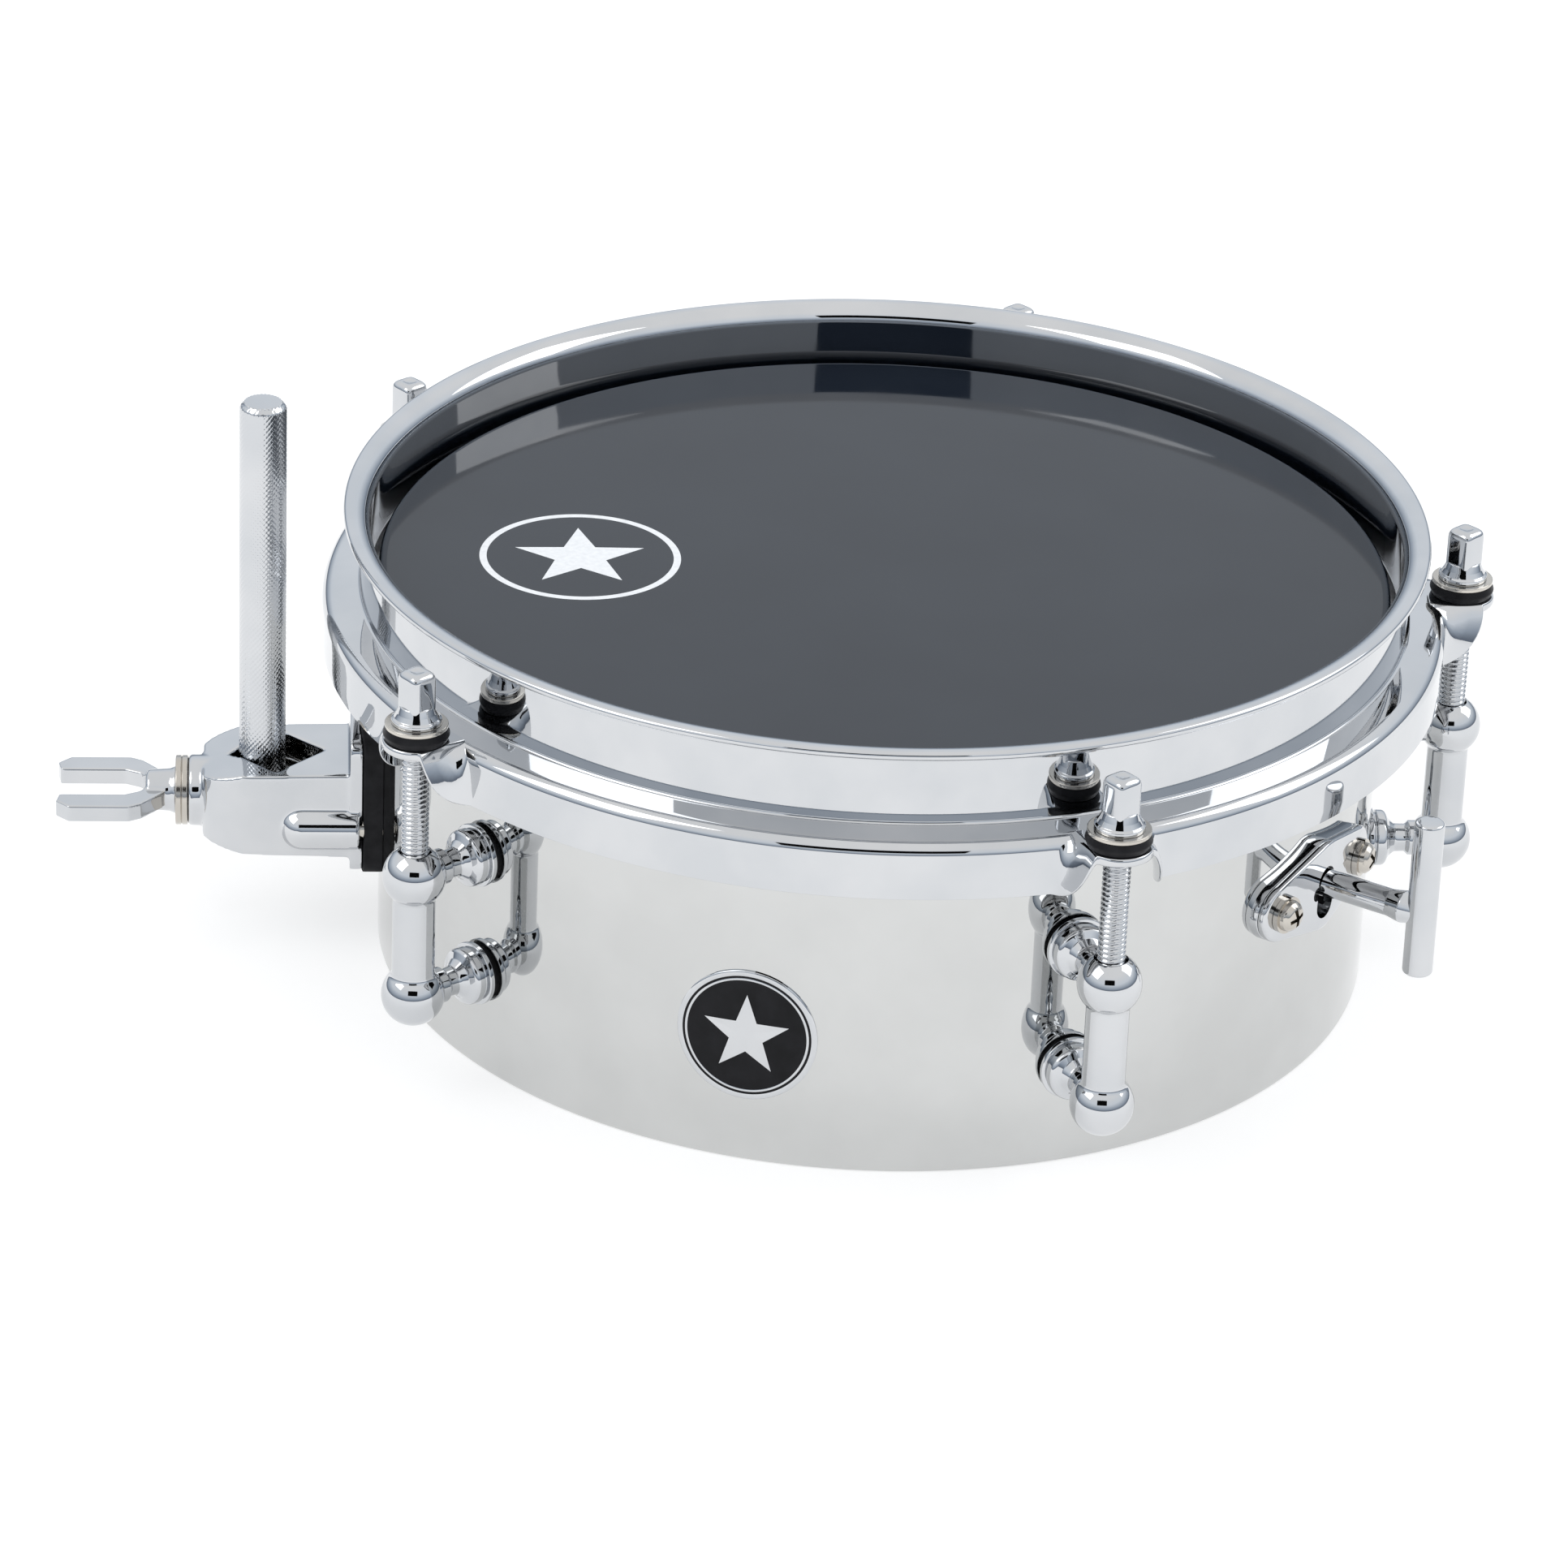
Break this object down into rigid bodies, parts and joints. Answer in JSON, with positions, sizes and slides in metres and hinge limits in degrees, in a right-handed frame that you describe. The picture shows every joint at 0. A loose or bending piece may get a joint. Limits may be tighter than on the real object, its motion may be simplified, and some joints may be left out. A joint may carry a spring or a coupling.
{
  "type": "snare drum",
  "caption": "Small shallow snare drum in chromed steel: black batter head, pressed hoop, tube lugs, side mount bracket with knurled rod, and a snare strainer with a T-handle.",
  "frame": {"origin": "centre of the batter head's playing surface", "axes": "+Z along the drum's axis, up out of the playing surface; -X towards the mount bracket; the first lug is on +X"},
  "size_m": [0.2898, 0.2362, 0.1168],
  "materials": {
    "chrome": "polished",
    "nickel": "bright nickel plate",
    "knurled_rod": "diamond knurled, chrome plated",
    "film": "glossy black film",
    "flesh_aluminium": "satin",
    "black_nylon": "satin",
    "black_rubber": "matte",
    "badge_enamel": "black enamel in a bright rim",
    "zinc_steel": "zinc plated",
    "snare_steel": "bright spring wire"
  },
  "bodies": {
    "drum": {"shell": "chrome", "batter_film": "film", "flesh_hoop": "flesh_aluminium", "tube_lug_1": "chrome", "tube_lug_2": "chrome", "tube_lug_3": "chrome", "tube_lug_4": "chrome", "tube_lug_5": "chrome", "lug_gaskets": "black_rubber", "lug_screws": "nickel", "lug_washers": "nickel", "badge": "badge_enamel", "mount_bracket": "chrome", "bracket_gasket": "black_rubber", "bracket_backing": "zinc_steel", "bracket_screws": "nickel", "clamp_washer": "nickel", "strainer_base": "chrome", "strainer_plate": "chrome", "strainer_lock_washers": "nickel", "strainer_screws": "nickel", "strainer_nuts": "nickel"},
    "hoop": {"counter_hoop": "chrome", "steel_washers": "nickel", "grommets": "black_nylon"},
    "rod_1": {"tension_rod_1": "chrome"},
    "rod_2": {"tension_rod_2": "chrome"},
    "rod_3": {"tension_rod_3": "chrome"},
    "rod_4": {"tension_rod_4": "chrome"},
    "rod_5": {"tension_rod_5": "chrome"},
    "wing_nut": {"wing_nut": "chrome"},
    "eye_bolt": {"eye_bolt": "nickel"},
    "mount_rod": {"mount_rod": "knurled_rod"},
    "snares": {"snare_carriage": "zinc_steel", "snare_beam": "zinc_steel", "snare_end_plates": "zinc_steel", "snare_wires": "snare_steel", "beam_rivets": "nickel"},
    "t_handle": {"t_handle": "chrome"}
  },
  "joints": [
    {"name": "hoop_lift", "type": "slide", "parent": "drum", "child": "hoop", "axis": [0, 0, 1], "range_m": [0, 0.003]},
    {"name": "rod_1_turn", "type": "hinge", "parent": "hoop", "child": "rod_1", "pos_m": [0.11707, 0, 0], "axis": [0, 0, 1], "range_deg": [0, 1025]},
    {"name": "rod_2_turn", "type": "hinge", "parent": "hoop", "child": "rod_2", "pos_m": [0.03618, 0.11134, 0], "axis": [0, 0, 1], "range_deg": [0, 1025]},
    {"name": "rod_3_turn", "type": "hinge", "parent": "hoop", "child": "rod_3", "pos_m": [-0.09471, 0.06881, 0], "axis": [0, 0, 1], "range_deg": [0, 1025]},
    {"name": "rod_4_turn", "type": "hinge", "parent": "hoop", "child": "rod_4", "pos_m": [-0.09471, -0.06881, 0], "axis": [0, 0, 1], "range_deg": [0, 1025]},
    {"name": "rod_5_turn", "type": "hinge", "parent": "hoop", "child": "rod_5", "pos_m": [0.03618, -0.11134, 0], "axis": [0, 0, 1], "range_deg": [0, 1025]},
    {"name": "wing_nut_turn", "type": "hinge", "parent": "drum", "child": "wing_nut", "pos_m": [-0.1421, 0, -0.052], "axis": [-1, 0, 0], "range_deg": [0, 720]},
    {"name": "eye_bolt_slide", "type": "slide", "parent": "drum", "child": "eye_bolt", "axis": [1, 0, 0], "range_m": [0, 0.00205]},
    {"name": "mount_rod_slide", "type": "slide", "parent": "drum", "child": "mount_rod", "axis": [0, 0, 1], "range_m": [-0.06, 0.012]},
    {"name": "snare_slide", "type": "slide", "parent": "drum", "child": "snares", "axis": [0, 0, 1], "range_m": [-0.0045, 0]},
    {"name": "t_handle_turn", "type": "hinge", "parent": "snares", "child": "t_handle", "pos_m": [0.0809, -0.05878, -0.0398], "axis": [0.809, -0.5878, 0], "range_deg": [0, 360]}
  ],
  "couplings": [
    {"joint": "rod_1_turn", "follows": "hoop_lift", "rad_per_m": 5936.9},
    {"joint": "rod_2_turn", "follows": "hoop_lift", "rad_per_m": 5936.9},
    {"joint": "rod_3_turn", "follows": "hoop_lift", "rad_per_m": 5936.9},
    {"joint": "rod_4_turn", "follows": "hoop_lift", "rad_per_m": 5936.9},
    {"joint": "rod_5_turn", "follows": "hoop_lift", "rad_per_m": 5936.9},
    {"joint": "eye_bolt_slide", "follows": "wing_nut_turn", "m_per_rad": 0.00015915}
  ]
}
